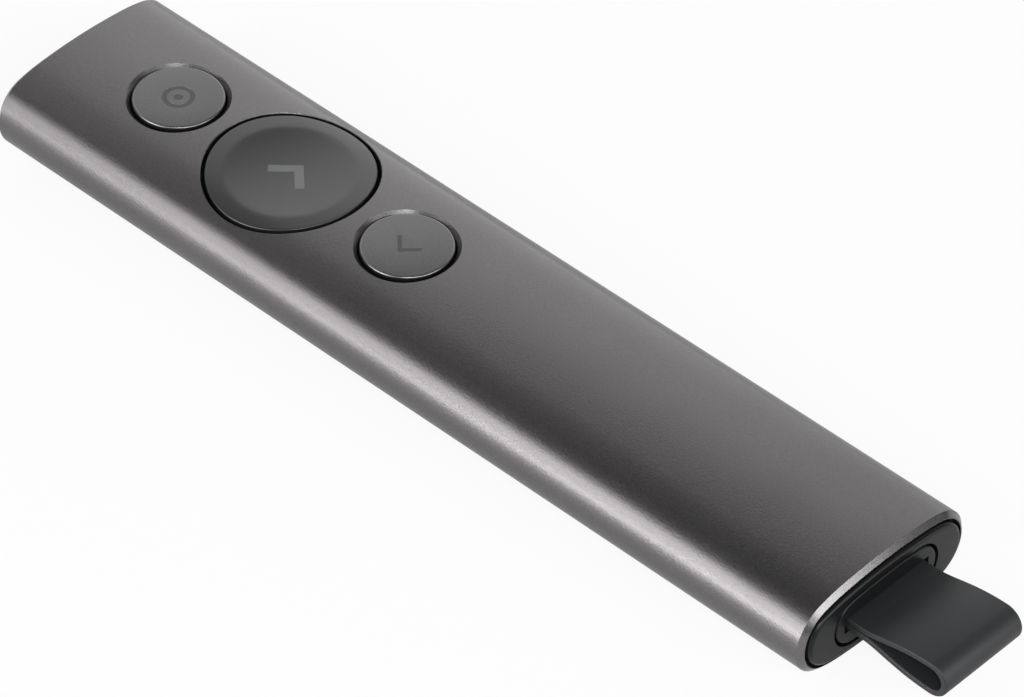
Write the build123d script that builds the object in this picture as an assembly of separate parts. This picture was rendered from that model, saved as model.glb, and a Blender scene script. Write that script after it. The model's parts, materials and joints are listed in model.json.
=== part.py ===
"""Wireless presentation clicker, built as separate pieces in their assembled places.

Millimetres. X runs across the clicker, Y along it with the nose at +Y, and Z up.
The origin is the centre of the flat that it rests on, under the middle of the shell.
"""

import os
from math import asin, cos, sin, sqrt

from build123d import *

# ---------------------------------------------------------------- driving sizes
# Outer shell: one aluminium sleeve with a lens-shaped section.
shell_width = 28.35
shell_height = 11.91
shell_length = 131.3
crown_radius = 69.0
crown_half_width = 7.0
shoulder_radius = 21.0
rest_flat_width = 7.0
shell_wall = 1.1

# Ends of the shell and the caps that close them.
end_chamfer_length = 0.6
end_chamfer_inset = 0.64
rim_land_crown = 0.05
rim_land_side = 0.16
seat_depth = 1.6
cap_gap = 0.43
cap_proud = 0.46
cap_edge_round = 0.55
cap_flange_gap = 0.05
cap_flange_thickness = 0.6
clip_width = 5.0
clip_thickness = 1.0
clip_length = 4.0

# Buttons, from the nose to the tail: pointer, next, back.
pointer_setback = 17.59
small_cap_radius = 5.7
small_cap_gap = 0.26
large_cap_radius = 10.4
large_cap_gap = 0.45
web_ahead_of_next = 2.43
web_behind_next = 2.62
small_hole_chamfer = 0.52
large_hole_chamfer = 0.1
small_cap_drop = 0.02
small_cap_edge_width = 0.28
small_cap_edge_drop = 0.18
dish_depth = 0.8
dish_radius = 8.3
large_skirt_wall = 1.2
large_skirt_drop = 0.5
large_plate = 1.0
lug_gap = 0.3
lug_thickness = 0.8
lug_reach = 0.6
small_lug_width = 5.0
large_lug_width = 7.0
carrier_clearance = 0.1
plunger_radius = 1.2
plunger_length = 0.95
press_travel = 0.3

# Push switches under the buttons.
switch_side = 4.5
switch_height = 0.8
stem_radius = 1.0
stem_proud = 0.45
stem_depth = 0.3
stem_end_gap = 0.05
running_gap = 0.06

# Chassis tray, board and the screws that join them.
chassis_gap = 0.2
chassis_wall = 0.8
tray_rim_drop = 0.4
board_thickness = 0.8
board_side_margin = 4.05
board_end_gap = 0.4
post_radius = 1.5
post_inset = 1.7
post_end_inset = 4.2
screw_radius = 0.7
screw_fit = 0.02
screw_length = 4.0
screw_head_radius = 1.3
screw_head_height = 0.7
screw_slot_width = 0.35
screw_slot_depth = 0.3
board_hole_gap = 0.1

# Battery under the board.
pad_thickness = 0.45
pad_floor_gap = 0.35
pad_inset = 2.4
battery_headroom = 0.8
battery_side_margin = 1.6
battery_post_gap = 0.6
protection_board_thickness = 0.8
protection_board_inset = 2.0
flex_width = 4.0
flex_thickness = 0.2
flex_length = 1.4
flex_drop = 0.3
connector_width = 5.0
connector_length = 2.5

# Vibration motor ahead of the battery.
motor_clearance = 0.2
motor_length = 10.0
motor_setback = 11.0
motor_shaft_radius = 0.4
motor_shaft_depth = 5.0
motor_shaft_proud = 6.4
weight_gap = 0.7
weight_length = 4.2
weight_radius_gap = 0.25
weight_hub_radius = 0.9
cradle_wall = 0.9
cradle_length = 6.0

# Components on top of the board.
shield_length = 14.0
shield_width = 11.0
shield_height = 1.5
shield_wall = 0.2
radio_chip_side = 6.0
radio_chip_height = 0.9
charger_chip_side = 3.0
charger_chip_height = 0.8
sensor_length = 3.0
sensor_width = 2.5
sensor_height = 0.8
sensor_edge_inset = 4.0
antenna_length = 9.0
antenna_width = 3.0
antenna_height = 1.2
chip_capacitor_length = 1.0
chip_capacitor_width = 0.5
chip_capacitor_height = 0.5
chip_capacitor_pitch = 1.6
chip_capacitors_in_row = 4
component_spacing = 2.0

# Receiver that plugs into the tail, and the dock that holds it.
receiver_width = 17.0
receiver_length = 13.9
receiver_proud = 0.48
receiver_gap = 0.39
receiver_edge = 0.24
receiver_wall = 0.9
receiver_front_thickness = 1.0
dock_wall = 0.6
dock_gap = 0.47
dock_end_wall = 1.0
plug_pocket_width = 12.7
plug_pocket_height = 6.7
plug_pocket_wall = 0.8
plug_pocket_corner = 1.0
plug_pocket_end_gap = 0.65
dock_spring_width = 3.0
dock_spring_length = 9.0
dock_spring_thickness = 0.2
dock_window_length = 6.0
dock_window_height = 3.6
dock_bump_length = 2.4
dock_bump_gap = 0.08

# Standard type A plug of the receiver.
plug_width = 12.0
plug_height = 4.5
plug_length = 12.0
plug_wall = 0.3
plug_corner = 0.4
plug_hold = 3.6
plug_fit = 0.04
plug_window = 2.2
plug_window_pitch = 5.0
plug_window_setback = 5.2
insulator_height = 1.84
insulator_recess = 0.6
contact_width = 1.0
contact_thickness = 0.2
contact_length = 8.4
contact_setback = 1.2
contact_pitches = (-3.5, -1.0, 1.0, 3.5)
receiver_board_length = 4.6
receiver_board_width = 12.6
receiver_chip_side = 3.5
receiver_chip_height = 0.9

# Pull strap: an endless rubber band pinned inside the receiver.
strap_width = 13.2
strap_thickness = 0.88
strap_reach = 14.85
strap_loop_opening = 3.05
strap_pinch_opening = 0.12
strap_pinch_length = 1.9
strap_pin_radius = 0.5
strap_pin_setback = 2.6
strap_slot_gap = 0.2
strap_slot_end_gap = 0.55
pin_end_gap = 0.05

# Standard type C charging socket behind the receiver.
socket_width = 8.94
socket_height = 3.26
socket_length = 7.3
socket_wall = 0.3
socket_fit = 0.15
tongue_width = 6.69
tongue_thickness = 0.7
tongue_recess = 0.9
socket_back = 1.2
ear_thickness = 0.3
ear_reach = 1.4
ear_length = 2.0
ear_wall = 0.4
contact_strip_width = 0.25
contact_strip_thickness = 0.08
contact_strip_pitch = 0.5
contact_strips = 12

# ---------------------------------------------------------------- worked-out levels
# The section's lowest line lies just under the flat that is cut on it.
rest_flat_sagitta = crown_radius - sqrt(crown_radius**2 - (rest_flat_width / 2) ** 2)
section_height = shell_height + rest_flat_sagitta
mid_z = shell_height - section_height / 2
inner_crest = shell_height - shell_wall
front_y = shell_length / 2
rear_y = -shell_length / 2

rim_wall_crown = end_chamfer_inset + rim_land_crown
rim_wall_side = end_chamfer_inset + rim_land_side

small_hole_radius = small_cap_radius + small_cap_gap
large_hole_radius = large_cap_radius + large_cap_gap
pointer_y = front_y - pointer_setback
next_y = pointer_y - small_hole_radius - web_ahead_of_next - large_hole_radius
back_y = next_y - large_hole_radius - web_behind_next - small_hole_radius
button_rows = {"pointer": pointer_y, "next": next_y, "back": back_y}

lug_top = inner_crest - lug_gap
lug_bottom = lug_top - lug_thickness
plunger_bottom = lug_bottom - plunger_length
switch_top = plunger_bottom - stem_proud
board_top = switch_top - switch_height
board_bottom = board_top - board_thickness
large_skirt_bottom = lug_bottom - large_skirt_drop
large_carrier_top = shell_height - dish_depth - large_plate

chassis_inset = shell_wall + chassis_gap
tray_inset = chassis_inset + chassis_wall
tray_floor = mid_z - section_height / 2 + tray_inset

receiver_height = section_height - 2 * (shell_wall + dock_gap + dock_wall + receiver_gap)
receiver_rear_y = rear_y - receiver_proud
receiver_front_y = receiver_rear_y + receiver_length
plug_tip_y = receiver_front_y + plug_length
dock_rear_y = rear_y + seat_depth
dock_step_y = receiver_front_y + receiver_gap
socket_mouth_y = plug_tip_y + plug_pocket_end_gap
dock_front_y = socket_mouth_y + dock_end_wall

chassis_front_y = front_y - seat_depth
board_rear_y = dock_front_y + board_end_gap
board_front_y = chassis_front_y - board_end_gap - clip_length
board_width = shell_width - 2 * board_side_margin
post_x = board_width / 2 - post_inset
post_rows = (dock_front_y + post_end_inset, next_y, board_front_y - post_end_inset)

pad_bottom = tray_floor + pad_floor_gap
battery_bottom = pad_bottom + pad_thickness
battery_top = board_bottom - battery_headroom
battery_width = board_width - 2 * battery_side_margin
battery_rear_y = post_rows[0] + post_radius + battery_post_gap
connector_front_y = next_y - post_radius - battery_post_gap
connector_rear_y = connector_front_y - connector_length
battery_front_y = connector_rear_y - flex_length - protection_board_thickness

motor_radius = (board_bottom - tray_floor) / 2 - motor_clearance
motor_z = (board_bottom + tray_floor) / 2
motor_front_y = pointer_y - motor_setback + motor_length
motor_rear_y = motor_front_y - motor_length


# ---------------------------------------------------------------- shapes used by many pieces
def lens(width, height, crown):
    """Lens section: two shallow crown arcs joined by tangent side arcs."""
    half_w = width / 2
    half_h = height / 2
    side = (crown * height - half_w**2 - half_h**2) / (2 * (crown - half_w))
    centre_x = half_w - side
    reach = side / (crown - side)
    join_x = centre_x * (1 + reach)
    join_y = (crown - half_h) * reach
    outline = Wire(
        [
            Edge.make_three_point_arc((-join_x, join_y), (0, half_h), (join_x, join_y)),
            Edge.make_three_point_arc((join_x, join_y), (half_w, 0), (join_x, -join_y)),
            Edge.make_three_point_arc((join_x, -join_y), (0, -half_h), (-join_x, -join_y)),
            Edge.make_three_point_arc((-join_x, -join_y), (-half_w, 0), (-join_x, join_y)),
        ]
    )
    return Face(outline)


def shouldered_lens(width, height, inset):
    """Lens section whose crown and side arcs meet in shoulder arcs, all inset from the shell's own arcs."""
    half_w = width / 2
    half_h = height / 2
    crown = crown_radius - inset
    shoulder = shoulder_radius - inset
    crown_end = asin(crown_half_width / crown_radius)
    centre_x = (crown - shoulder) * sin(crown_end)
    centre_y = half_h - crown + (crown - shoulder) * cos(crown_end)
    across = half_w - centre_x
    side = (shoulder**2 - across**2 - centre_y**2) / (2 * (shoulder - across))
    shoulder_end = asin((across - side) / (shoulder - side))
    tilts = (crown_end, (crown_end + shoulder_end) / 2, shoulder_end)

    def corner(across_sign, up_sign):
        """Start, middle and end of one shoulder arc, from the crown to the side."""
        return [
            (across_sign * (centre_x + shoulder * sin(tilt)), up_sign * (centre_y + shoulder * cos(tilt)))
            for tilt in tilts
        ]

    top_left, top_right = corner(-1, 1), corner(1, 1)
    low_left, low_right = corner(-1, -1), corner(1, -1)
    arcs = [
        (top_left[0], (0, half_h), top_right[0]),
        top_right,
        (top_right[2], (half_w, 0), low_right[2]),
        low_right[::-1],
        (low_right[0], (0, -half_h), low_left[0]),
        low_left,
        (low_left[2], (-half_w, 0), top_left[2]),
        top_left[::-1],
    ]
    return Face(Wire([Edge.make_three_point_arc(*arc) for arc in arcs]))


def shell_lens(inset):
    """The shell's own section, moved inwards by the same distance all round."""
    return shouldered_lens(shell_width - 2 * inset, section_height - 2 * inset, inset)


def cross_plane(y, z=mid_z):
    """Plane across the clicker at y, drawn with X to the right and up as Z."""
    return Plane(origin=(0, y, z), x_dir=(1, 0, 0), z_dir=(0, -1, 0))


def along_y(section, start, end, z=mid_z):
    """Solid with the given cross-section from y = start to y = end."""
    return extrude(cross_plane(end, z) * section, end - start, dir=(0, -1, 0))


def block(x_span, y_span, z_span):
    """Box between two limits along each axis."""
    lows = (x_span[0], y_span[0], z_span[0])
    sizes = (x_span[1] - x_span[0], y_span[1] - y_span[0], z_span[1] - z_span[0])
    return Pos(*lows) * Box(*sizes, align=(Align.MIN, Align.MIN, Align.MIN))


def centred(width, middle=0.0):
    """Limits of a width about its middle."""
    return (middle - width / 2, middle + width / 2)


def upright(radius, bottom, top, x=0.0, y=0.0):
    """Cylinder that stands along Z."""
    return Pos(x, y, bottom) * Cylinder(
        radius, top - bottom, align=(Align.CENTER, Align.CENTER, Align.MIN)
    )


def rod_y(radius, start, end, z, x=0.0):
    """Cylinder that lies along Y."""
    return along_y(Pos(x, 0) * Circle(radius), start, end, z)


def group(solids):
    """Several separate solids that share one node."""
    return Compound(children=list(solids))


# ---------------------------------------------------------------- shell and end caps
def seat_lens(gap):
    """Section of the seats machined in the shell's ends, or of what fits them with a gap."""
    crown_inset = rim_wall_crown + gap
    side_inset = rim_wall_side + gap
    return shouldered_lens(
        shell_width - 2 * side_inset, section_height - 2 * crown_inset, crown_inset
    )


def make_outer_shell():
    straight_start = rear_y + end_chamfer_length
    straight_end = front_y - end_chamfer_length
    body = along_y(shell_lens(0), straight_start, straight_end)
    for tip, joint in ((rear_y, straight_start), (front_y, straight_end)):
        wide = cross_plane(joint) * shell_lens(0)
        narrow = cross_plane(tip) * shell_lens(end_chamfer_inset)
        body += loft([wide, narrow], ruled=True)
    body -= along_y(shell_lens(shell_wall), rear_y, front_y)
    body -= along_y(seat_lens(0), rear_y, rear_y + seat_depth)
    body -= along_y(seat_lens(0), front_y - seat_depth, front_y)
    body -= block(centred(shell_width), (rear_y, front_y), (-shell_height, 0))
    body -= upright(large_hole_radius, mid_z, 2 * shell_height, y=next_y)
    for y in (pointer_y, back_y):
        body -= upright(small_hole_radius, mid_z, 2 * shell_height, y=y)
    rims = [top_rim(body, y) for y in (pointer_y, back_y)]
    body = chamfer(rims, small_hole_chamfer)
    return chamfer(top_rim(body, next_y), large_hole_chamfer)


def top_rim(body, y):
    """Outer edge of the round hole that is centred at y."""
    round_edges = body.edges().filter_by(GeomType.BSPLINE)
    return [e for e in round_edges.sort_by(Axis.Z) if abs(e.center().Y - y) < 1][-1]


def end_clips(face_y, direction):
    """Pair of flat clips that reach from a cap into the shell."""
    reach = sorted((face_y, face_y + direction * clip_length))
    heights = centred(clip_thickness, board_bottom - clip_thickness)
    middle = shell_width / 2 - board_side_margin - clip_width
    return [block(centred(clip_width, side * middle), reach, heights) for side in (-1, 1)]


def end_cap(face_y, seat_y):
    """Plate with a rounded face at face_y and a flange that fills the seat's far end at seat_y."""
    inward = 1 if seat_y > face_y else -1
    plate = along_y(seat_lens(cap_gap), *sorted((face_y, seat_y)))
    face = plate.faces().sort_by(Axis.Y)[0 if inward > 0 else -1]
    plate = fillet(face.edges(), cap_edge_round)
    flange_y = seat_y - inward * cap_flange_thickness
    return plate + along_y(seat_lens(cap_flange_gap), *sorted((flange_y, seat_y)))


def make_front_cap():
    plate = end_cap(front_y + cap_proud, chassis_front_y)
    for clip in end_clips(chassis_front_y, -1):
        plate += clip
    return plate


def receiver_lens(gap):
    """Section of the receiver's housing, or of a pocket that clears it by a gap."""
    return lens(
        receiver_width + 2 * gap,
        receiver_height + 2 * gap,
        crown_radius - shell_wall - dock_gap - dock_wall - receiver_gap + gap,
    )


def make_rear_cap():
    face_y = rear_y - cap_proud
    plate = end_cap(face_y, dock_rear_y)
    return plate - along_y(receiver_lens(receiver_gap), face_y, dock_rear_y)


# ---------------------------------------------------------------- dock, springs and charging socket
def plug_pocket(margin):
    return RectangleRounded(
        plug_pocket_width + 2 * margin,
        plug_pocket_height + 2 * margin,
        plug_pocket_corner + margin,
    )


def socket_section(margin):
    width = socket_width + 2 * margin
    height = socket_height + 2 * margin
    return RectangleRounded(width, height, height / 2 - 0.01)


def make_receiver_dock():
    sleeve_end = dock_step_y + dock_wall
    sleeve = along_y(receiver_lens(receiver_gap + dock_wall), dock_rear_y, sleeve_end)
    sleeve += along_y(plug_pocket(plug_pocket_wall), dock_step_y, dock_front_y)
    sleeve -= along_y(receiver_lens(receiver_gap), dock_rear_y, dock_step_y)
    sleeve -= along_y(plug_pocket(0), dock_step_y, socket_mouth_y)
    sleeve -= along_y(socket_section(socket_fit), socket_mouth_y, dock_front_y)
    window = dock_spring_rows(dock_window_length)
    span = receiver_width + 4 * (receiver_gap + dock_wall)
    return sleeve - block(centred(span), window, centred(dock_window_height, mid_z))


def dock_spring_rows(length):
    """Limits along Y of something centred on the dock's side springs."""
    return centred(length, (dock_rear_y + dock_step_y) / 2)


def make_dock_springs():
    """Two leaf springs whose bumps hold the receiver's sides."""
    wall_face = receiver_width / 2 + receiver_gap + dock_wall
    bump_tip = receiver_width / 2 + dock_bump_gap
    rows = dock_spring_rows(dock_spring_length)
    bump = dock_spring_rows(dock_bump_length)
    middle = sum(bump) / 2
    springs = []
    for side in (-1, 1):
        leaf = block(
            sorted((side * wall_face, side * (wall_face + dock_spring_thickness))),
            rows,
            centred(dock_spring_width, mid_z),
        )
        outline = [(side * wall_face, bump[0]), (side * bump_tip, middle), (side * wall_face, bump[1])]
        low_z = mid_z - dock_spring_width / 2
        ridge = extrude(
            Plane(origin=(0, 0, low_z)) * make_face(Polyline(*outline, close=True)),
            dock_spring_width,
        )
        springs.append(leaf + ridge)
    return group(springs)


def make_charge_socket_shell():
    back_y_limit = socket_mouth_y + socket_length
    shell = along_y(socket_section(0), socket_mouth_y, back_y_limit)
    shell -= along_y(socket_section(-socket_wall), socket_mouth_y, back_y_limit - socket_wall)
    side_x = socket_width / 2
    ear_rows = (back_y_limit - ear_length, back_y_limit)
    for side in (-1, 1):
        riser_x = sorted((side * (side_x - ear_wall / 2), side * (side_x + ear_wall / 2)))
        ear_x = sorted((side * (side_x - ear_wall / 2), side * (side_x + ear_wall / 2 + ear_reach)))
        shell += block(riser_x, ear_rows, (mid_z, board_top + ear_thickness))
        shell += block(ear_x, ear_rows, (board_top, board_top + ear_thickness))
    return shell


def socket_tongue_rows():
    inner_back = socket_mouth_y + socket_length - socket_wall
    return (socket_mouth_y + tongue_recess, inner_back)


def make_charge_socket_tongue():
    start, end = socket_tongue_rows()
    blade = block(centred(tongue_width), (start, end), centred(tongue_thickness, mid_z))
    return blade + along_y(socket_section(-socket_wall), end - socket_back, end)


def make_charge_socket_contacts():
    """Contact strips on both faces of the socket's tongue."""
    start, end = socket_tongue_rows()
    rows = (start + contact_strip_width, end - socket_back)
    strips = []
    for number in range(contact_strips):
        x = (number - (contact_strips - 1) / 2) * contact_strip_pitch
        for side in (-1, 1):
            face = mid_z + side * tongue_thickness / 2
            levels = sorted((face, face + side * contact_strip_thickness))
            strips.append(block(centred(contact_strip_width, x), rows, levels))
    return group(strips)


# ---------------------------------------------------------------- chassis and board
def post_places():
    return [(side * post_x, row) for row in post_rows for side in (-1, 1)]


def make_inner_chassis():
    tray = along_y(shell_lens(chassis_inset), dock_front_y, chassis_front_y)
    tray -= along_y(shell_lens(tray_inset), dock_front_y, chassis_front_y)
    tray_rim = board_bottom - tray_rim_drop
    tray -= block(
        centred(shell_width), (dock_front_y, chassis_front_y), (tray_rim, 2 * shell_height)
    )
    floor = along_y(shell_lens((chassis_inset + tray_inset) / 2), dock_front_y, chassis_front_y)
    for x, y in post_places():
        post = upright(post_radius, 0, board_bottom, x, y)
        tray += post & floor
        pilot = screw_radius + screw_fit
        tip = board_top - screw_length
        tray -= upright(pilot, tip - screw_fit, board_bottom, x, y)
    return tray


def make_main_board():
    board = block(
        centred(board_width), (board_rear_y, board_front_y), (board_bottom, board_top)
    )
    notch_width = socket_width + ear_wall + 2 * socket_fit
    notch_end = socket_mouth_y + socket_length + socket_fit
    board -= block(centred(notch_width), (board_rear_y, notch_end), (board_bottom, board_top))
    for x, y in post_places():
        board -= upright(screw_radius + board_hole_gap, board_bottom, board_top, x, y)
    return board


def make_board_screws():
    screws = []
    for x, y in post_places():
        screw = upright(screw_radius, board_top - screw_length, board_top, x, y)
        screw += upright(screw_head_radius, board_top, board_top + screw_head_height, x, y)
        slot_floor = board_top + screw_head_height - screw_slot_depth
        slot_top = board_top + screw_head_height
        for length, width in ((screw_head_radius, screw_slot_width), (screw_slot_width, screw_head_radius)):
            screw -= block(centred(length, x), centred(width, y), (slot_floor, slot_top))
        screws.append(screw)
    return group(screws)


def on_board(length, width, height, x, y):
    """Component body that sits on the board's top face."""
    return block(centred(width, x), centred(length, y), (board_top, board_top + height))


shield_y = back_y - small_hole_radius - component_spacing - shield_length / 2
charger_y = shield_y - shield_length / 2 - component_spacing - charger_chip_side / 2
sensor_y = next_y - large_cap_radius + sensor_length
antenna_y = board_front_y - antenna_width / 2


def make_shield_can():
    can = on_board(shield_length, shield_width, shield_height, 0, shield_y)
    inside = block(
        centred(shield_width - 2 * shield_wall),
        centred(shield_length - 2 * shield_wall, shield_y),
        (board_top, board_top + shield_height - shield_wall),
    )
    return can - inside


def make_radio_chip():
    return on_board(radio_chip_side, radio_chip_side, radio_chip_height, 0, shield_y)


def make_charger_chip():
    return on_board(charger_chip_side, charger_chip_side, charger_chip_height, 0, charger_y)


def make_motion_sensor():
    x = board_width / 2 - sensor_edge_inset
    return on_board(sensor_length, sensor_width, sensor_height, x, sensor_y)


def make_antenna():
    return on_board(antenna_width, antenna_length, antenna_height, 0, antenna_y)


def make_chip_capacitors():
    """Rows of small capacitors beside the shield and beside the charger chip."""
    rows = (
        (shield_width / 2 + component_spacing / 2, shield_y),
        (-shield_width / 2 - component_spacing / 2, shield_y),
        (charger_chip_side / 2 + component_spacing, charger_y),
        (-charger_chip_side / 2 - component_spacing, charger_y),
    )
    parts = []
    for x, middle in rows:
        for number in range(chip_capacitors_in_row):
            y = middle + (number - (chip_capacitors_in_row - 1) / 2) * chip_capacitor_pitch
            size = (chip_capacitor_width, chip_capacitor_length, chip_capacitor_height)
            parts.append(on_board(*size, x, y))
    return group(parts)


# ---------------------------------------------------------------- battery and motor
def make_battery_pad():
    return block(
        centred(battery_width - 2 * pad_inset),
        (battery_rear_y + pad_inset, battery_front_y - pad_inset),
        (pad_bottom, battery_bottom),
    )


def make_battery_cell():
    cell = block(
        centred(battery_width), (battery_rear_y, battery_front_y), (battery_bottom, battery_top)
    )
    edge = (battery_top - battery_bottom) / 4
    return fillet(cell.edges().filter_by(Axis.Y), edge)


def make_battery_protection_board():
    rows = (battery_front_y, battery_front_y + protection_board_thickness)
    width = battery_width - 2 * protection_board_inset
    return block(centred(width), rows, (battery_bottom, battery_top))


def make_battery_flex():
    rows = (battery_front_y + protection_board_thickness, connector_rear_y)
    top = battery_top - flex_drop
    return block(centred(flex_width), rows, (top - flex_thickness, top))


def make_battery_connector():
    bottom = battery_top - 2 * flex_drop - flex_thickness
    rows = (connector_rear_y, connector_front_y)
    return block(centred(connector_width), rows, (bottom, board_bottom))


def make_motor_can():
    can = rod_y(motor_radius, motor_rear_y, motor_front_y, motor_z)
    bore = motor_shaft_radius + running_gap
    return can - rod_y(bore, motor_front_y - motor_shaft_depth, motor_front_y, motor_z)


def make_motor_cradle():
    middle = (motor_rear_y + motor_front_y) / 2
    rows = centred(cradle_length, middle)
    floor_gap = motor_clearance / 2
    walls = block(
        centred(2 * (motor_radius + cradle_wall)),
        rows,
        (tray_floor + floor_gap, motor_z),
    )
    return walls - rod_y(motor_radius, *rows, motor_z)


def make_motor_shaft():
    start = motor_front_y - motor_shaft_depth + running_gap
    return rod_y(motor_shaft_radius, start, motor_front_y + motor_shaft_proud, motor_z)


def make_motor_weight():
    """Half-round weight that makes the motor shake."""
    start = motor_front_y + weight_gap
    end = start + weight_length
    radius = motor_radius - weight_radius_gap
    weight = rod_y(radius, start, end, motor_z)
    weight -= block(centred(2 * radius), (start, end), (motor_z, motor_z + radius))
    weight += rod_y(weight_hub_radius, start, end, motor_z)
    return weight - rod_y(motor_shaft_radius, start, end, motor_z)


# ---------------------------------------------------------------- buttons and their switches
def lug_bar(y, hole_radius, width):
    """Bar across a button whose ends catch under the shell's hole."""
    reach = 2 * (hole_radius + lug_reach)
    return block(centred(width), centred(reach, y), (lug_bottom, lug_top))


def make_small_cap(y):
    top = shell_height - small_cap_drop
    cap = upright(small_cap_radius, lug_top, top - small_cap_edge_drop, y=y)
    return cap + Pos(0, y, top - small_cap_edge_drop) * Cone(
        small_cap_radius,
        small_cap_radius - small_cap_edge_width,
        small_cap_edge_drop,
        align=(Align.CENTER, Align.CENTER, Align.MIN),
    )


def make_small_carrier(y):
    carrier = upright(small_cap_radius - carrier_clearance, lug_bottom, lug_top, y=y)
    carrier += lug_bar(y, small_hole_radius, small_lug_width)
    return carrier + upright(plunger_radius, plunger_bottom, lug_bottom, y=y)


def make_large_cap():
    """Wide cap whose rim follows the shell's crown and whose middle is dished."""
    rows = centred(2 * large_cap_radius, next_y)
    cap = upright(large_cap_radius, large_skirt_bottom, 2 * shell_height, y=next_y)
    cap &= along_y(shell_lens(0), *rows)
    ball_radius = (dish_radius**2 + dish_depth**2) / (2 * dish_depth)
    cap -= Pos(0, next_y, shell_height - dish_depth + ball_radius) * Sphere(ball_radius)
    bar = lug_bar(next_y, large_hole_radius, large_lug_width)
    cap += bar
    recess = large_cap_radius - large_skirt_wall
    return cap - upright(recess, large_skirt_bottom, large_carrier_top, y=next_y)


def make_large_carrier():
    radius = large_cap_radius - large_skirt_wall - carrier_clearance
    carrier = upright(radius, lug_bottom, large_carrier_top, y=next_y)
    return carrier + upright(plunger_radius, plunger_bottom, lug_bottom, y=next_y)


def make_switch(y):
    body = block(
        centred(switch_side), centred(switch_side, y), (board_top, switch_top)
    )
    bore_floor = switch_top - stem_depth - press_travel - stem_end_gap
    return body - upright(stem_radius + running_gap, bore_floor, switch_top, y=y)


def make_switch_stem(y):
    return upright(stem_radius, switch_top - stem_depth, plunger_bottom, y=y)


# ---------------------------------------------------------------- receiver and its strap
def make_receiver_housing():
    open_end_y = receiver_front_y - receiver_front_thickness
    body = along_y(receiver_lens(0), receiver_rear_y, open_end_y)
    rear_edges = body.faces().sort_by(Axis.Y)[0].edges()
    body = fillet(rear_edges, receiver_edge)
    cavity_rear = receiver_rear_y + receiver_wall
    body -= along_y(receiver_lens(-receiver_wall), cavity_rear, open_end_y)
    body -= along_y(plug_section(-plug_fit), plug_rows()[0], open_end_y)
    slot = Rectangle(
        strap_width + 2 * strap_slot_end_gap,
        2 * strap_thickness + strap_pinch_opening + 2 * strap_slot_gap,
    )
    return body - along_y(slot, receiver_rear_y, cavity_rear)


def plug_section(inset):
    return RectangleRounded(
        plug_width - 2 * inset, plug_height - 2 * inset, max(plug_corner - inset, plug_corner / 4)
    )


def make_receiver_front():
    rows = (receiver_front_y - receiver_front_thickness, receiver_front_y)
    plate = along_y(receiver_lens(0), *rows)
    return plate - along_y(plug_section(-plug_fit), *rows)


def plug_rows():
    return (receiver_front_y - plug_hold, plug_tip_y)


def make_plug_shell():
    shell = along_y(plug_section(0), *plug_rows()) - along_y(plug_section(plug_wall), *plug_rows())
    for side in (-1, 1):
        shell -= block(
            centred(plug_window, side * plug_window_pitch / 2),
            centred(plug_window, plug_tip_y - plug_window_setback),
            centred(2 * plug_height, mid_z),
        )
    return shell


insulator_bottom = mid_z - plug_height / 2 + plug_wall + plug_fit
insulator_top = insulator_bottom + insulator_height


def make_plug_insulator():
    rows = (receiver_front_y - plug_hold, plug_tip_y - insulator_recess)
    width = plug_width - 2 * (plug_wall + plug_fit)
    return block(centred(width), rows, (insulator_bottom, insulator_top))


def make_plug_contacts():
    end = plug_tip_y - insulator_recess - contact_setback
    levels = (insulator_top, insulator_top + contact_thickness)
    strips = (
        block(centred(contact_width, x), (end - contact_length, end), levels)
        for x in contact_pitches
    )
    return group(strips)


receiver_board_rows = (
    receiver_front_y - plug_hold - receiver_board_length,
    receiver_front_y - plug_hold,
)
receiver_board_levels = centred(board_thickness, (insulator_bottom + insulator_top) / 2)


def make_receiver_board():
    return block(centred(receiver_board_width), receiver_board_rows, receiver_board_levels)


def make_receiver_chip():
    top = receiver_board_levels[1]
    rows = centred(receiver_chip_side, sum(receiver_board_rows) / 2)
    return block(centred(receiver_chip_side), rows, (top, top + receiver_chip_height))


strap_pin_y = receiver_rear_y + strap_pin_setback


def make_strap_pin():
    length = receiver_width - 2 * (receiver_wall + pin_end_gap)
    return Pos(0, strap_pin_y, mid_z) * Rot(0, 90, 0) * Cylinder(strap_pin_radius, length)


def strap_face(outward):
    """Side view of the band's outline, moved outwards from its inner face."""
    pin_half = strap_pin_radius + pin_end_gap + outward
    pinch_half = strap_pinch_opening / 2 + outward
    loop_half = strap_loop_opening / 2 + outward
    loop_y = receiver_rear_y - strap_reach + strap_thickness + strap_loop_opening / 2
    pinch_rows = (receiver_rear_y + receiver_wall, receiver_rear_y - strap_pinch_length)
    spread = (loop_y - pinch_rows[1]) / 2

    def half(sign):
        """One run of the band, from its round end at the pin to its round end in the loop."""
        neck = Spline(
            (strap_pin_y, sign * pin_half),
            (pinch_rows[0], sign * pinch_half),
            tangents=((-1, 0), (-1, 0)),
        )
        pinch = Line((pinch_rows[0], sign * pinch_half), (pinch_rows[1], sign * pinch_half))
        flare = Bezier(
            (pinch_rows[1], sign * pinch_half),
            (pinch_rows[1] + spread / 2, sign * pinch_half),
            (loop_y - spread, sign * loop_half),
            (loop_y, sign * loop_half),
        )
        return [neck, pinch, flare]

    tip = ThreePointArc((loop_y, loop_half), (loop_y - loop_half, 0), (loop_y, -loop_half))
    root = ThreePointArc(
        (strap_pin_y, pin_half), (strap_pin_y + pin_half, 0), (strap_pin_y, -pin_half)
    )
    return make_face(half(1) + [tip] + half(-1) + [root])


def make_pull_strap():
    side_view = Plane(origin=(-strap_width / 2, 0, mid_z), x_dir=(0, 1, 0), z_dir=(1, 0, 0))
    ring = strap_face(strap_thickness) - strap_face(0)
    return extrude(side_view * ring, strap_width)


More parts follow.
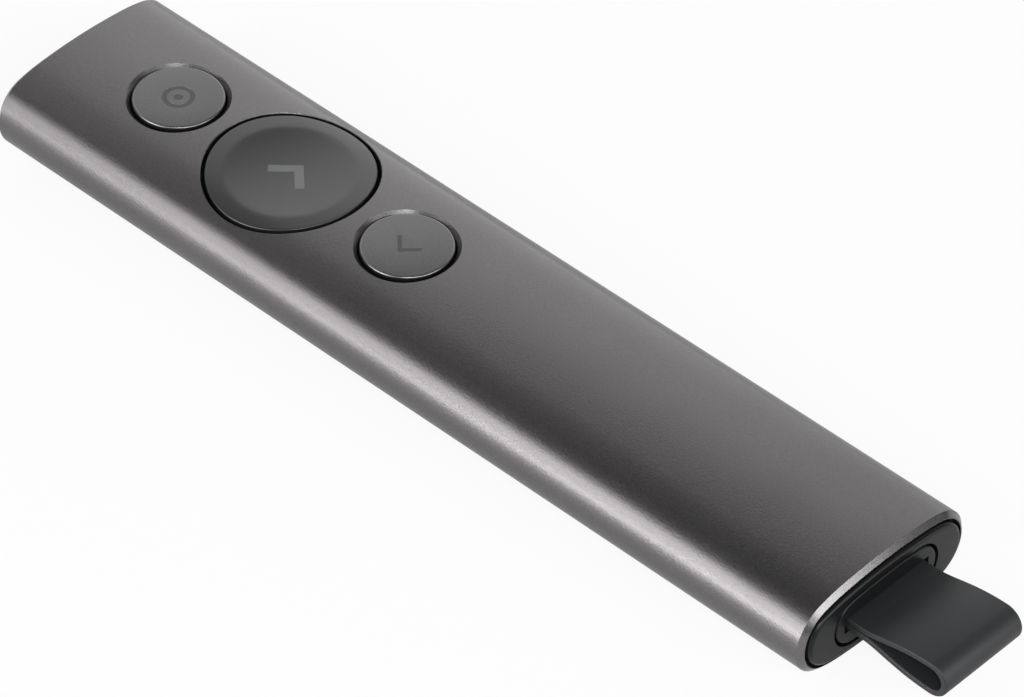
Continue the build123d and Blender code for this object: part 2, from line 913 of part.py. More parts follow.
# ---------------------------------------------------------------- all nodes
nodes = {
    "outer_shell": make_outer_shell(),
    "front_cap": make_front_cap(),
    "rear_cap": make_rear_cap(),
    "receiver_dock": make_receiver_dock(),
    "dock_springs": make_dock_springs(),
    "charge_socket_shell": make_charge_socket_shell(),
    "charge_socket_tongue": make_charge_socket_tongue(),
    "charge_socket_contacts": make_charge_socket_contacts(),
    "inner_chassis": make_inner_chassis(),
    "main_board": make_main_board(),
    "board_screws": make_board_screws(),
    "shield_can": make_shield_can(),
    "radio_chip": make_radio_chip(),
    "charger_chip": make_charger_chip(),
    "motion_sensor": make_motion_sensor(),
    "antenna": make_antenna(),
    "chip_capacitors": make_chip_capacitors(),
    "battery_pad": make_battery_pad(),
    "battery_cell": make_battery_cell(),
    "battery_protection_board": make_battery_protection_board(),
    "battery_flex": make_battery_flex(),
    "battery_connector": make_battery_connector(),
    "motor_can": make_motor_can(),
    "motor_cradle": make_motor_cradle(),
    "motor_shaft": make_motor_shaft(),
    "motor_weight": make_motor_weight(),
    "pointer_cap": make_small_cap(pointer_y),
    "pointer_carrier": make_small_carrier(pointer_y),
    "next_cap": make_large_cap(),
    "next_carrier": make_large_carrier(),
    "back_cap": make_small_cap(back_y),
    "back_carrier": make_small_carrier(back_y),
    "receiver_housing": make_receiver_housing(),
    "receiver_front": make_receiver_front(),
    "receiver_board": make_receiver_board(),
    "receiver_chip": make_receiver_chip(),
    "plug_shell": make_plug_shell(),
    "plug_insulator": make_plug_insulator(),
    "plug_contacts": make_plug_contacts(),
    "strap_pin": make_strap_pin(),
    "pull_strap": make_pull_strap(),
}
for name, row in button_rows.items():
    nodes[f"{name}_switch"] = make_switch(row)
    nodes[f"{name}_switch_stem"] = make_switch_stem(row)

os.makedirs("parts", exist_ok=True)
for name, shape in nodes.items():
    export_step(shape, f"parts/{name}.step")
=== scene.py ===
import json
import math

import bmesh
import bpy
from mathutils import Matrix, Vector


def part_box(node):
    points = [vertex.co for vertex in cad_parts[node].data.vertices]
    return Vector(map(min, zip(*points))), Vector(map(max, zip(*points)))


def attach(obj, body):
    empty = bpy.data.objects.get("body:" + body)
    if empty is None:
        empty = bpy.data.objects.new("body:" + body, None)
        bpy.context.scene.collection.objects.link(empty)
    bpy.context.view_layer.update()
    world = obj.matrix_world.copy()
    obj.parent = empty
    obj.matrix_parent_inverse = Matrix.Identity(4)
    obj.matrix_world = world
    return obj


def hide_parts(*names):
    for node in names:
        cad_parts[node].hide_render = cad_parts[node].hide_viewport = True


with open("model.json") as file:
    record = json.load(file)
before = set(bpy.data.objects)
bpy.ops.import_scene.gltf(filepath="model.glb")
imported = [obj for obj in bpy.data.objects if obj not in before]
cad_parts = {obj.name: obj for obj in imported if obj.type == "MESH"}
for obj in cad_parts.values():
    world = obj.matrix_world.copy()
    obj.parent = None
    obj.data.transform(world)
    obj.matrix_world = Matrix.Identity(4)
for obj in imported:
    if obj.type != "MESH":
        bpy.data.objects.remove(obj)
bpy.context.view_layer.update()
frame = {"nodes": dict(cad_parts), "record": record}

MM = 0.001


def box_mm(node):
    """Lowest and highest corners of a CAD node, in millimetres."""
    low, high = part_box(node)
    return low / MM, high / MM


def middle(node):
    low, high = box_mm(node)
    return (low + high) / 2


# ---------------------------------------------------------------- sizes, in millimetres
CROWN_RADIUS = 69.0
CROWN_HALF_WIDTH = 7.0
SHOULDER_RADIUS = 21.0
END_CHAMFER_LENGTH = 0.6
SMALL_CAP_ROUND = 0.24
ICON_DEPTH = 0.018
ICON_SLOPE = 0.012
ICON_CUTTER_RISE = 1.0
RING_RADII = (1.42, 2.02)
DOT_RADIUS = 0.56
BACK_CHEVRON = ((-1.62, 0), (0.4, 2.0), (0.75, 1.65), (-0.87, 0))
NEXT_CHEVRON = ((2.15, 0), (-0.78, 3.1), (-1.63, 2.28), (0.56, 0))
NEXT_CHEVRON_LIFT = 0.01
NEXT_CHEVRON_THICKNESS = 0.06
DISH_RADIUS = 8.15
DISH_DEPTH = 0.72
DISH_SOFTNESS = 0.065
NEXT_CAP_ROUND = 0.12
NEXT_CAP_TRIM = 0.05
NEXT_CAP_WALL = 1.2
NEXT_CAP_PLATE = 1.0
NEXT_LUG_WIDTH = 7.0
NEXT_LUG_LIFT = 0.5
NEXT_LUG_THICKNESS = 0.8
STRAP_THICKNESS = 0.88
STRAP_LOOP_OPENING = 3.05
STRAP_PINCH_OPENING = 0.12
STRAP_PINCH_LENGTH = 1.9
STRAP_EDGE_ROUND = 0.26
STRAP_BOW = 0.3
RECEIVER_WALL = 0.9
WELD_DISTANCE = 0.001

# how finely the curved pieces are divided
EDGE_STEPS = 6
SMALL_CAP_AROUND = 160
NEXT_CAP_AROUND = 224
NEXT_CAP_RINGS = 52
CHEVRON_ALONG = 16
CHEVRON_ACROSS = 6
STRAP_NECK_STEPS = 8
STRAP_RUN_STEPS = 40
STRAP_FOLD_STEPS = 18
STRAP_ROOT_STEPS = 12
STRAP_EDGE_STEPS = 5


# ---------------------------------------------------------------- camera
def make_camera():
    """Long lens looking down the clicker from behind its tail, from the left."""
    azimuth = math.radians(-46.726)
    elevation = math.radians(42.859)
    roll = math.radians(0.468)
    distance = 763.422 * MM
    shift_right = 5.613 * MM
    shift_up = -3.289 * MM
    aim_height = 5.76 * MM
    back = Vector((
        math.sin(azimuth) * math.cos(elevation),
        -math.cos(azimuth) * math.cos(elevation),
        math.sin(elevation),
    ))
    level_right = Vector((math.cos(azimuth), math.sin(azimuth), 0))
    level_up = back.cross(level_right)
    right = level_right * math.cos(roll) + level_up * math.sin(roll)
    up = level_up * math.cos(roll) - level_right * math.sin(roll)
    data = bpy.data.cameras.new("camera")
    data.sensor_width = 36
    data.lens = 227.45
    camera = bpy.data.objects.new("camera", data)
    bpy.context.scene.collection.objects.link(camera)
    aim = Vector((0, 0, aim_height))
    camera.location = aim + back * distance + right * shift_right + up * shift_up
    camera.rotation_mode = "QUATERNION"
    camera.rotation_quaternion = Matrix((right, up, back)).transposed().to_quaternion()
    bpy.context.scene.camera = camera


make_camera()


# ---------------------------------------------------------------- light, in metres and watts
SOFTBOX_DISTANCE = 0.85
STRIP_BOX = (0.5, 0.16)
LOW_BOX = (0.5, 0.28)
SIDE_BOX = (0.5, 0.3)
HIGH_BOX = (0.5, 0.4)
KEY_BOX = (0.5, 0.3)
CAMERA_BOX = (0.22, 0.16)
SOFTBOXES = (
    # name, azimuth and elevation in degrees, width and height, power
    ("left_strip", 170, 4, STRIP_BOX, 2.87),
    ("nose_left_strip", 150, 4, STRIP_BOX, 1.28),
    ("left", 170, 25, SIDE_BOX, 1.26),
    ("nose_left", 150, 25, SIDE_BOX, 1.85),
    ("nose_right_low", 45, 12, LOW_BOX, 0.69),
    ("right_nose_low", 20, 12, LOW_BOX, 0.45),
    ("right_low", 0, 12, LOW_BOX, 0.5),
    ("tail_low", 270, 12, LOW_BOX, 0.8),
    ("left_high", 180, 36, HIGH_BOX, 0.45),
    ("nose_high", 90, 36, HIGH_BOX, 0.8),
    ("nose_right_high", 45, 36, HIGH_BOX, 0.89),
    ("right_high", 0, 36, HIGH_BOX, 0.55),
    ("tail_left_high", 240, 36, HIGH_BOX, 2.6),
    ("tail_right_strip", 303, 5, STRIP_BOX, 0.8),
    ("tail_key", 283, 26, KEY_BOX, 2.3),
    ("camera_key", 226, 43, CAMERA_BOX, 1.9),
)
WORLD_LEVEL = 0.08


def softbox(name, azimuth, elevation, size, power):
    """Rectangular lamp that faces the middle of the scene."""
    data = bpy.data.lights.new(name, "AREA")
    data.shape = "RECTANGLE"
    data.size, data.size_y = size
    data.energy = power
    lamp = bpy.data.objects.new(name, data)
    bpy.context.scene.collection.objects.link(lamp)
    turn, lift = math.radians(azimuth), math.radians(elevation)
    level = math.cos(lift)
    toward = Vector((math.cos(turn) * level, math.sin(turn) * level, math.sin(lift)))
    lamp.location = toward * SOFTBOX_DISTANCE
    lamp.rotation_mode = "QUATERNION"
    lamp.rotation_quaternion = toward.to_track_quat("Z", "Y")


for box in SOFTBOXES:
    softbox(*box)

world = bpy.data.worlds.new("world")
bpy.context.scene.world = world
world.use_nodes = True
background = world.node_tree.nodes["Background"]
background.inputs["Color"].default_value = (1, 1, 1, 1)
background.inputs["Strength"].default_value = WORLD_LEVEL

bpy.context.scene.view_settings.view_transform = "Standard"


# ---------------------------------------------------------------- materials
NOISE_BAND = (0.3, 0.7)
GLOSS_SPREAD = 0.07
CLOUD_SIZE = 12


def grained(
    name, colour, roughness, metallic=0, specular=0.5, grain=0.2, tint=0.05, relief=0.003, cloud=0
):
    """Surface whose fine even grain varies its colour, its gloss and its height.

    grain is the size of one grain and relief its height, in millimetres. tint is the share by which
    the colour varies from grain to grain, and cloud the share by which it varies over centimetres.
    """
    material = bpy.data.materials.new(name)
    material.use_nodes = True
    tree = material.node_tree

    def node(kind, **values):
        made = tree.nodes.new("ShaderNode" + kind)
        for socket, value in values.items():
            made.inputs[socket.replace("_", " ")].default_value = value
        return made

    def spread(source, low, high):
        """Colour ramp from one colour to the other over the band that a noise mostly lies in."""
        ramp = node("ValToRGB")
        for element, position, end in zip(ramp.color_ramp.elements, NOISE_BAND, (low, high)):
            element.position = position
            element.color = (*end, 1)
        tree.links.new(source, ramp.inputs["Fac"])
        return ramp.outputs["Color"]

    def scaled(share):
        return [channel * share for channel in colour]

    shader = tree.nodes["Principled BSDF"]
    shader.inputs["Metallic"].default_value = metallic
    shader.inputs["Specular IOR Level"].default_value = specular
    place = node("TexCoord")
    fine = node("TexNoise", Scale=1 / (grain * MM), Detail=2)
    tree.links.new(place.outputs["Object"], fine.inputs["Vector"])
    grains = spread(fine.outputs["Fac"], scaled(1 - tint), scaled(1 + tint))
    if cloud:
        broad = node("TexNoise", Scale=1 / (CLOUD_SIZE * MM), Detail=3)
        tree.links.new(place.outputs["Object"], broad.inputs["Vector"])
        clouds = spread(broad.outputs["Fac"], (1 - cloud,) * 3, (1,) * 3)
        mix = tree.nodes.new("ShaderNodeMix")
        mix.data_type = "RGBA"
        mix.blend_type = "MULTIPLY"
        mix.inputs["Factor"].default_value = 1
        tree.links.new(grains, mix.inputs["A"])
        tree.links.new(clouds, mix.inputs["B"])
        grains = mix.outputs["Result"]
    tree.links.new(grains, shader.inputs["Base Color"])
    gloss = node(
        "MapRange",
        From_Min=NOISE_BAND[0],
        From_Max=NOISE_BAND[1],
        To_Min=(1 - GLOSS_SPREAD) * roughness,
        To_Max=(1 + GLOSS_SPREAD) * roughness,
    )
    tree.links.new(fine.outputs["Fac"], gloss.inputs["Value"])
    tree.links.new(gloss.outputs["Result"], shader.inputs["Roughness"])
    bump = node("Bump", Distance=relief * MM)
    tree.links.new(fine.outputs["Fac"], bump.inputs["Height"])
    tree.links.new(bump.outputs["Normal"], shader.inputs["Normal"])
    return material


ANODISED = dict(roughness=0.36, metallic=1, grain=0.22, tint=0.1, relief=0.018, cloud=0.05)
FINISHES = {
    "shell_metal": dict(colour=(0.155, 0.1475, 0.15), **ANODISED),
    "button_metal": dict(colour=(0.145, 0.1415, 0.142), **ANODISED),
    "button_plastic": dict(
        colour=(0.007, 0.007, 0.0075), roughness=0.38, specular=0.9, grain=0.15, relief=0.004
    ),
    "end_plastic": dict(colour=(0.007, 0.0075, 0.008), roughness=0.3, specular=0.2, grain=0.2),
    "dock_plastic": dict(colour=(0.015, 0.015, 0.015), roughness=0.45, grain=0.25),
    "chassis_plastic": dict(colour=(0.04, 0.04, 0.04), roughness=0.5, grain=0.3),
    "stem_plastic": dict(colour=(0.7, 0.68, 0.62), roughness=0.45, grain=0.2),
    "insulator_plastic": dict(colour=(0.03, 0.03, 0.03), roughness=0.4, grain=0.2),
    "strap_rubber": dict(
        colour=(0.018, 0.019, 0.021), roughness=0.5, specular=0.38, grain=0.18, cloud=0.15
    ),
    "foam": dict(colour=(0.08, 0.08, 0.08), roughness=0.9, grain=0.4, tint=0.4, relief=0.05),
    "plug_steel": dict(
        colour=(0.7, 0.7, 0.7), roughness=0.24, metallic=1, grain=0.3, relief=0.001
    ),
    "spring_steel": dict(
        colour=(0.6, 0.6, 0.6), roughness=0.3, metallic=1, grain=0.2, relief=0.001
    ),
    "weight_metal": dict(
        colour=(0.35, 0.35, 0.36), roughness=0.42, metallic=1, grain=0.12, tint=0.15
    ),
    "contact_gold": dict(
        colour=(0.85, 0.66, 0.3), roughness=0.22, metallic=1, grain=0.2, relief=0.001
    ),
    "board_green": dict(colour=(0.01, 0.045, 0.024), roughness=0.3, grain=0.5, tint=0.2),
    "chip_plastic": dict(colour=(0.03, 0.03, 0.032), roughness=0.5, grain=0.08, relief=0.004),
    "ceramic": dict(colour=(0.75, 0.72, 0.65), roughness=0.4, grain=0.15),
    "battery_foil": dict(
        colour=(0.7, 0.7, 0.71), roughness=0.35, metallic=1, grain=1.2, relief=0.03, cloud=0.1
    ),
    "flex_film": dict(colour=(0.5, 0.24, 0.05), roughness=0.3, grain=0.4, tint=0.1),
}
materials = {slot: grained(slot, **finish) for slot, finish in FINISHES.items()}
etched_metal = grained("etched_metal", (0.096, 0.093, 0.094), **ANODISED)
turned_metal = grained(
    "turned_metal", (0.2, 0.197, 0.2), roughness=0.33, metallic=1, grain=0.2, relief=0.001
)
icon_grey = grained("icon_grey", (0.122, 0.125, 0.13), roughness=0.45, grain=0.2)
pale_floor = grained("pale_floor", (0.8, 0.8, 0.8), roughness=0.9, grain=2, tint=0.002, relief=0)

CHAMFER_SHINE = 1.15
CHAMFER_ROUGHNESS = 0.27
CHAMFER_EVENNESS = 0.7
CHAMFER_TILT = 0.4
CHAMFER_MARGIN = 0.01


def shine_chamfers(material):
    """Make the machined chamfers at the shell's ends brighter, smoother and more even.

    They are the faces near the ends whose normal has at least CHAMFER_TILT along the length.
    """
    tree = material.node_tree
    shader = tree.nodes["Principled BSDF"]

    def math_node(operation, first, second):
        made = tree.nodes.new("ShaderNodeMath")
        made.operation = operation
        for socket, value in zip(made.inputs, (first, second)):
            if isinstance(value, bpy.types.NodeSocket):
                tree.links.new(value, socket)
            else:
                socket.default_value = value
        return made.outputs["Value"]

    place = tree.nodes.new("ShaderNodeTexCoord")
    axes = tree.nodes.new("ShaderNodeSeparateXYZ")
    tree.links.new(place.outputs["Object"], axes.inputs["Vector"])
    tilt = tree.nodes.new("ShaderNodeSeparateXYZ")
    tree.links.new(place.outputs["Normal"], tilt.inputs["Vector"])
    tilted = math_node("GREATER_THAN", math_node("ABSOLUTE", tilt.outputs["Y"], 0), CHAMFER_TILT)
    chamfer_start = box_mm("outer_shell")[1].y - END_CHAMFER_LENGTH
    along = math_node("ABSOLUTE", axes.outputs["Y"], 0)
    at_end = math_node("GREATER_THAN", along, (chamfer_start - CHAMFER_MARGIN) * MM)
    mask = math_node("MULTIPLY", tilted, at_end)
    shine = tree.nodes.new("ShaderNodeMix")
    shine.data_type = "RGBA"
    shine.blend_type = "MULTIPLY"
    tree.links.new(mask, shine.inputs["Factor"])
    tree.links.new(shader.inputs["Base Color"].links[0].from_socket, shine.inputs["A"])
    shine.inputs["B"].default_value = (CHAMFER_SHINE,) * 3 + (1,)
    tree.links.new(shine.outputs["Result"], shader.inputs["Base Color"])
    smooth = tree.nodes.new("ShaderNodeMix")
    tree.links.new(mask, smooth.inputs["Factor"])
    tree.links.new(shader.inputs["Roughness"].links[0].from_socket, smooth.inputs["A"])
    smooth.inputs["B"].default_value = CHAMFER_ROUGHNESS
    tree.links.new(smooth.outputs["Result"], shader.inputs["Roughness"])
    relief = math_node("SUBTRACT", 1, math_node("MULTIPLY", mask, CHAMFER_EVENNESS))
    tree.links.new(relief, tree.nodes["Bump"].inputs["Strength"])


shine_chamfers(materials["shell_metal"])


# shares of plain white that the camera, and metal and glass, see in the floor
SEEN_WHITE = 0.9
MIRRORED_WHITE = 0.25


def whiten(material):
    """Show a material mostly as plain white to the camera, and partly in metal and glass."""
    tree = material.node_tree
    path = tree.nodes.new("ShaderNodeLightPath")
    white = tree.nodes.new("ShaderNodeEmission")
    white.inputs["Color"].default_value = (1, 1, 1, 1)
    white.inputs["Strength"].default_value = 1
    share = None
    for ray, ray_share in (
        ("Is Camera Ray", SEEN_WHITE),
        ("Is Glossy Ray", MIRRORED_WHITE),
        ("Is Transmission Ray", MIRRORED_WHITE),
    ):
        part = tree.nodes.new("ShaderNodeMath")
        part.operation = "MULTIPLY_ADD"
        tree.links.new(path.outputs[ray], part.inputs[0])
        part.inputs[1].default_value = ray_share
        part.inputs[2].default_value = 0
        if share:
            tree.links.new(share, part.inputs[2])
        share = part.outputs["Value"]
    mix = tree.nodes.new("ShaderNodeMixShader")
    tree.links.new(share, mix.inputs["Fac"])
    tree.links.new(tree.nodes["Principled BSDF"].outputs["BSDF"], mix.inputs[1])
    tree.links.new(white.outputs["Emission"], mix.inputs[2])
    tree.links.new(mix.outputs["Shader"], tree.nodes["Material Output"].inputs["Surface"])


whiten(pale_floor)

SHARP_ANGLE = math.radians(30)


def finish_smooth(obj, slot):
    """Give an object its material and smooth its faces, apart from its sharp edges."""
    obj.data.materials.clear()
    obj.data.materials.append(materials[slot])
    obj.data.shade_smooth()
    obj.data.set_sharp_from_angle(angle=SHARP_ANGLE)


def finish_node(node, slot):
    """Give a CAD node its material, and shade it smoothly across its tangent faces' seams."""
    finish_smooth(node, slot)
    normals = node.data.attributes.get("custom_normal")
    if normals:
        node.data.attributes.remove(normals)
    weld = node.modifiers.new("weld", "WELD")
    weld.merge_threshold = WELD_DISTANCE * MM
    split = node.modifiers.new("split", "EDGE_SPLIT")
    split.split_angle = SHARP_ANGLE


for row in frame["record"]["subparts"]:
    finish_node(frame["nodes"][row["node"]], row["material_slot"])


# ---------------------------------------------------------------- shared mesh code
def new_mesh(name, vertices, faces):
    """Mesh from vertices in millimetres, welded where they meet, with its faces turned outwards."""
    mesh = bpy.data.meshes.new(name)
    mesh.from_pydata([Vector(vertex) * MM for vertex in vertices], [], faces)
    shape = bmesh.new()
    shape.from_mesh(mesh)
    bmesh.ops.remove_doubles(shape, verts=shape.verts, dist=WELD_DISTANCE * MM)
    bmesh.ops.recalc_face_normals(shape, faces=shape.faces)
    shape.to_mesh(mesh)
    shape.free()
    return mesh


def add_piece(name, vertices, faces, body, slot, replaced=None):
    """New piece from vertices in millimetres, on a body. It may stand for a CAD node."""
    piece = bpy.data.objects.new(name, new_mesh(name, vertices, faces))
    bpy.context.scene.collection.objects.link(piece)
    finish_smooth(piece, slot)
    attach(piece, body)
    if replaced:
        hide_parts(replaced)
    return piece


def repaint(piece, material, chosen):
    """Give the faces that are chosen one more material."""
    piece.data.materials.append(material)
    for face in piece.data.polygons:
        if chosen(face):
            face.material_index = len(piece.data.materials) - 1


def arc(centre, radius, start, end, steps):
    """Points on an arc from one angle to another, in degrees."""
    angles = [math.radians(start + (end - start) * step / steps) for step in range(steps + 1)]
    return [(centre[0] + radius * math.cos(a), centre[1] + radius * math.sin(a)) for a in angles]


def ring_faces(rings, around, closed_ends=True):
    """Quads that join rings of points, each with the same number round it."""
    faces = []
    for ring in range(rings - 1):
        for step in range(around):
            after = (step + 1) % around
            faces.append((
                ring * around + step,
                ring * around + after,
                (ring + 1) * around + after,
                (ring + 1) * around + step,
            ))
    if closed_ends:
        faces.append(tuple(range(around)))
        faces.append(tuple(range((rings - 1) * around, rings * around)))
    return faces


# ---------------------------------------------------------------- small buttons
def circle(radius, height, centre, around):
    turns = (2 * math.pi * step / around for step in range(around))
    return [
        (centre.x + radius * math.cos(turn), centre.y + radius * math.sin(turn), height)
        for turn in turns
    ]


def small_cap(node, body, icon_profile):
    """Flat round metal cap with a rounded edge. icon_profile is what is turned into its top."""
    low, high = box_mm(node)
    radius = (high.x - low.x) / 2
    edge_centre = (radius - SMALL_CAP_ROUND, high.z - SMALL_CAP_ROUND)
    profile = [(reach, high.z - drop) for reach, drop in icon_profile]
    profile += arc(edge_centre, SMALL_CAP_ROUND, 90, 0, EDGE_STEPS)
    profile.append((radius, low.z))
    centre = middle(node)
    vertices = []
    for reach, height in profile:
        vertices += circle(reach, height, centre, SMALL_CAP_AROUND)
    faces = ring_faces(len(profile), SMALL_CAP_AROUND)
    return add_piece(node + "_shown", vertices, faces, body, "button_metal", replaced=node)


LEVEL_NORMAL = 0.9


def finish_cap(piece, node):
    """Give the sunk icon of a small cap its darker, etched finish, and its edge a bright one."""
    low, high = box_mm(node)
    centre = middle(node)
    edge_start = (high.x - low.x) / 2 - SMALL_CAP_ROUND

    def in_icon(face):
        sunk = high.z - face.center.z / MM
        return face.normal.z > LEVEL_NORMAL and ICON_DEPTH / 2 < sunk < 2 * ICON_DEPTH

    def on_edge(face):
        return (face.center / MM - centre).to_2d().length > edge_start

    repaint(piece, etched_metal, in_icon)
    repaint(piece, turned_metal, on_edge)


pointer_icon = [
    (DOT_RADIUS, ICON_DEPTH),
    (DOT_RADIUS + ICON_SLOPE, 0),
    (RING_RADII[0] - ICON_SLOPE, 0),
    (RING_RADII[0], ICON_DEPTH),
    (RING_RADII[1], ICON_DEPTH),
    (RING_RADII[1] + ICON_SLOPE, 0),
]
finish_cap(small_cap("pointer_cap", "pointer_button", pointer_icon), "pointer_cap")
back_cap = small_cap("back_cap", "back_button", [])


def chevron(half):
    """Outline from its upper half: outer tip, outer end, inner end and inner corner."""
    tip, outer, inner, corner = half
    return [tip, outer, inner, corner, (inner[0], -inner[1]), (outer[0], -outer[1])]


def cut_icon(piece, node, outline):
    """Sink an outline into the top of the piece that stands for a node."""
    centre = middle(node)
    top = box_mm(node)[1].z
    heights = (top - ICON_DEPTH, top + ICON_CUTTER_RISE)
    vertices = [(centre.x + x, centre.y + y, height) for height in heights for x, y in outline]
    mesh = new_mesh("cutter", vertices, ring_faces(2, len(outline)))
    cutter = bpy.data.objects.new("cutter", mesh)
    bpy.context.scene.collection.objects.link(cutter)
    cut = piece.modifiers.new("cut", "BOOLEAN")
    cut.object = cutter
    cut.solver = "EXACT"
    graph = bpy.context.evaluated_depsgraph_get()
    piece.data = bpy.data.meshes.new_from_object(piece.evaluated_get(graph))
    piece.modifiers.clear()
    bpy.data.objects.remove(cutter)
    finish_smooth(piece, "button_metal")


cut_icon(back_cap, "back_cap", chevron(BACK_CHEVRON))
finish_cap(back_cap, "back_cap")


# ---------------------------------------------------------------- next button
NEXT_LOW, NEXT_HIGH = box_mm("next_cap")
NEXT_CENTRE = middle("next_switch")
NEXT_RADIUS = (NEXT_HIGH.x - NEXT_LOW.x) / 2 - NEXT_CAP_TRIM
SHELL_TOP = box_mm("outer_shell")[1].z


def crown_height(x):
    """Height of the shell's top, over crown and shoulder, at a distance from its middle line."""
    if abs(x) < CROWN_HALF_WIDTH:
        return SHELL_TOP - CROWN_RADIUS + math.sqrt(CROWN_RADIUS**2 - x**2)
    tilt = math.asin(CROWN_HALF_WIDTH / CROWN_RADIUS)
    centre_x = (CROWN_RADIUS - SHOULDER_RADIUS) * math.sin(tilt)
    centre_z = SHELL_TOP - CROWN_RADIUS + (CROWN_RADIUS - SHOULDER_RADIUS) * math.cos(tilt)
    return centre_z + math.sqrt(SHOULDER_RADIUS**2 - (abs(x) - centre_x) ** 2)


def dished(x, y):
    """Height of the next button's top: level with the shell, with a soft-edged round dish in it."""
    crown = crown_height(x)
    inside = 1 - (x**2 + y**2) / DISH_RADIUS**2
    return crown - DISH_DEPTH * (inside + math.sqrt(inside**2 + DISH_SOFTNESS**2)) / 2


def make_next_cap():
    """Wide round cap: dished top, rounded edge, skirt, hollow underside and two lugs."""
    flat_reach = NEXT_RADIUS - NEXT_CAP_ROUND
    edge = arc((flat_reach, 0), NEXT_CAP_ROUND, 90, 0, EDGE_STEPS)
    rings = [(flat_reach * (step + 1) / NEXT_CAP_RINGS, 0) for step in range(NEXT_CAP_RINGS)]
    rings += [(reach, NEXT_CAP_ROUND - up) for reach, up in edge[1:]]
    vertices = []
    for reach, drop in rings:
        for x, y, height in circle(reach, -drop, NEXT_CENTRE, NEXT_CAP_AROUND):
            vertices.append((x, y, height + dished(x - NEXT_CENTRE.x, y - NEXT_CENTRE.y)))
    inner = NEXT_RADIUS - NEXT_CAP_WALL
    ceiling = SHELL_TOP - DISH_DEPTH - NEXT_CAP_PLATE
    for reach, height in ((NEXT_RADIUS, NEXT_LOW.z), (inner, NEXT_LOW.z), (inner, ceiling)):
        vertices += circle(reach, height, NEXT_CENTRE, NEXT_CAP_AROUND)
    faces = ring_faces(len(vertices) // NEXT_CAP_AROUND, NEXT_CAP_AROUND)
    lug_bottom = NEXT_LOW.z + NEXT_LUG_LIFT
    for rows in ((NEXT_LOW.y, NEXT_CENTRE.y - inner), (NEXT_CENTRE.y + inner, NEXT_HIGH.y)):
        first = len(vertices)
        for height in (lug_bottom, lug_bottom + NEXT_LUG_THICKNESS):
            for x, y in ((-1, rows[0]), (1, rows[0]), (1, rows[1]), (-1, rows[1])):
                vertices.append((x * NEXT_LUG_WIDTH / 2, y, height))
        faces += [tuple(first + corner for corner in face) for face in ring_faces(2, 4)]
    add_piece(
        "next_cap_shown", vertices, faces, "next_button", "button_plastic", replaced="next_cap"
    )


make_next_cap()


def make_next_chevron():
    """Thin chevron let into the dish, as two arms that follow its surface."""
    along, across = CHEVRON_ALONG, CHEVRON_ACROSS
    tip, outer, inner, corner = (Vector(point) for point in NEXT_CHEVRON)
    vertices = []
    for side in (1, -1):
        for drop in (0, NEXT_CHEVRON_THICKNESS):
            for row in range(across + 1):
                for step in range(along + 1):
                    share = step / along
                    point = tip.lerp(outer, share).lerp(corner.lerp(inner, share), row / across)
                    x, y = point.x, side * point.y
                    height = dished(x, y) + NEXT_CHEVRON_LIFT - drop
                    vertices.append((NEXT_CENTRE.x + x, NEXT_CENTRE.y + y, height))
    faces = []
    sheet = (along + 1) * (across + 1)
    for arm in range(2):
        top = 2 * arm * sheet
        for layer in (0, sheet):
            for row in range(across):
                for step in range(along):
                    first = top + layer + row * (along + 1) + step
                    faces.append((first, first + 1, first + along + 2, first + along + 1))
        border = (
            [(0, step) for step in range(along)]
            + [(row, along) for row in range(across)]
            + [(across, step) for step in range(along, -1, -1)]
        )
        for (row, step), (next_row, next_step) in zip(border, border[1:]):
            first = top + row * (along + 1) + step
            second = top + next_row * (along + 1) + next_step
            faces.append((first, second, second + sheet, first + sheet))
    piece = add_piece("next_chevron", vertices, faces, "next_button", "button_plastic")
    piece.data.materials[0] = icon_grey


make_next_chevron()


# ---------------------------------------------------------------- pull strap
def bezier(points, steps):
    """Points on a cubic curve, without its last one."""
    a, b, c, d = (Vector(point) for point in points)
    result = []
    for step in range(steps):
        t = step / steps
        u = 1 - t
        result.append(u**3 * a + 3 * u**2 * t * b + 3 * u * t**2 * c + t**3 * d)
    return result


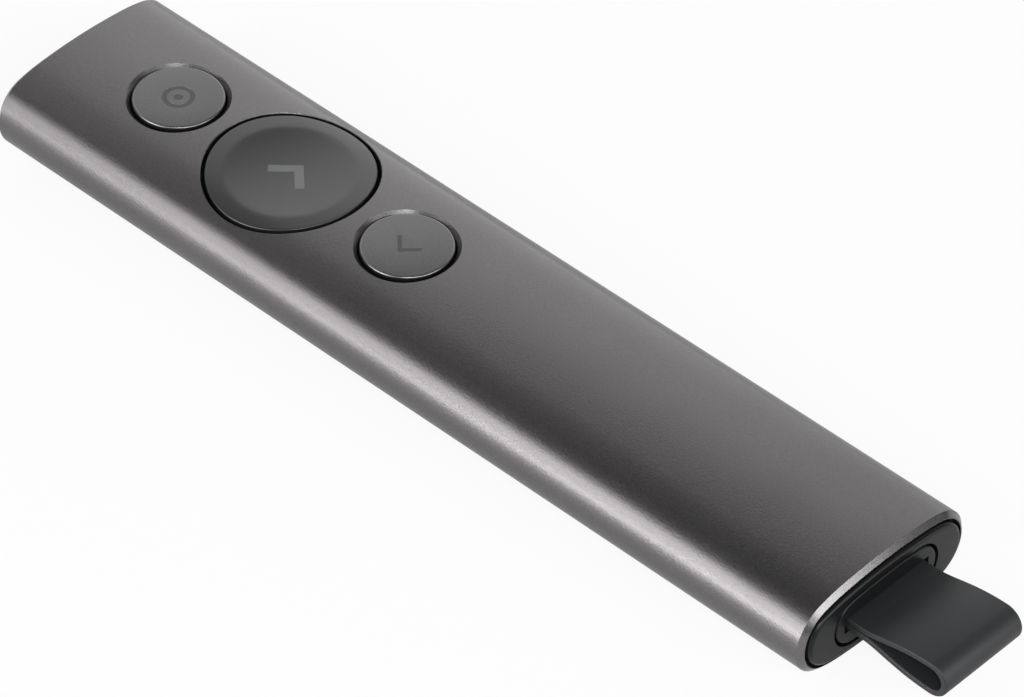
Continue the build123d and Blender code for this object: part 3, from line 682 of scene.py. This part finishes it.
def strap_path():
    """Middle line of the folded band, as (y, height from its middle), once round."""
    low, high = box_mm("pull_strap")
    face_y = box_mm("receiver_housing")[0].y
    pin = middle("strap_pin")
    half = STRAP_THICKNESS / 2
    pinch = STRAP_PINCH_OPENING / 2 + half
    loop = STRAP_LOOP_OPENING / 2 + half
    root = high.y - half - pin.y
    pinch_rows = (face_y + RECEIVER_WALL, face_y - STRAP_PINCH_LENGTH)
    loop_y = low.y + STRAP_BOW + STRAP_THICKNESS + STRAP_LOOP_OPENING / 2
    spread = (loop_y - pinch_rows[1]) / 2
    neck = (pin.y - pinch_rows[0]) / 2
    neck_points = [
        (pin.y, root),
        (pin.y - neck, root),
        (pinch_rows[0] + neck, pinch),
        (pinch_rows[0], pinch),
    ]
    run_points = [
        (pinch_rows[1], pinch),
        (pinch_rows[1] + spread / 2, pinch),
        (loop_y - spread, loop),
        (loop_y, loop),
    ]
    upper = bezier(neck_points, STRAP_NECK_STEPS)
    upper.append(Vector(neck_points[-1]))
    upper += bezier(run_points, STRAP_RUN_STEPS)
    upper += [Vector(point) for point in arc((loop_y, 0), loop, 90, 180, STRAP_FOLD_STEPS)]
    lower = [Vector((point.x, -point.y)) for point in reversed(upper[:-1])]
    end = [Vector(point) for point in arc((pin.y, 0), root, -90, 90, STRAP_ROOT_STEPS)[1:-1]]
    return upper + lower + end


def make_pull_strap():
    """Rubber band with rounded edges, swept once round its path. Its fold bows out."""
    low, high = box_mm("pull_strap")
    middle_z = (low.z + high.z) / 2
    half_width = (high.x - low.x) / 2
    half = STRAP_THICKNESS / 2
    corner = STRAP_EDGE_ROUND
    section = []
    for side_x, side_n, start in ((1, 1, 0), (-1, 1, 90), (-1, -1, 180), (1, -1, 270)):
        centre = (side_x * (half_width - corner), side_n * (half - corner))
        section += arc(centre, corner, start, start + 90, STRAP_EDGE_STEPS)
    path = strap_path()
    fold_y = min(point.x for point in path)
    free_length = box_mm("receiver_housing")[0].y - fold_y
    vertices = []
    for number, point in enumerate(path):
        after = path[(number + 1) % len(path)]
        before = path[number - 1]
        run = (after - before).normalized()
        outward = Vector((run.y, -run.x))
        for x, lift in section:
            place = point + outward * lift
            share = max(0, 1 - (point.x - fold_y) / free_length) ** 2
            bow = STRAP_BOW * share * (1 - (x / half_width) ** 2)
            vertices.append((x, place.x - bow, middle_z + place.y))
    count = len(section)
    faces = ring_faces(len(path), count, closed_ends=False)
    last = (len(path) - 1) * count
    for step in range(count):
        after = (step + 1) % count
        faces.append((last + step, last + after, after, step))
    add_piece(
        "pull_strap_shown", vertices, faces, "receiver", "strap_rubber", replaced="pull_strap"
    )


make_pull_strap()


# ---------------------------------------------------------------- floor, in metres
FLOOR_REACH = 3


def make_floor():
    signs = ((-1, -1), (1, -1), (1, 1), (-1, 1))
    corners = [(x * FLOOR_REACH, y * FLOOR_REACH, 0) for x, y in signs]
    mesh = bpy.data.meshes.new("floor")
    mesh.from_pydata(corners, [], [(0, 1, 2, 3)])
    floor = bpy.data.objects.new("floor", mesh)
    mesh.materials.append(pale_floor)
    bpy.context.scene.collection.objects.link(floor)


make_floor()
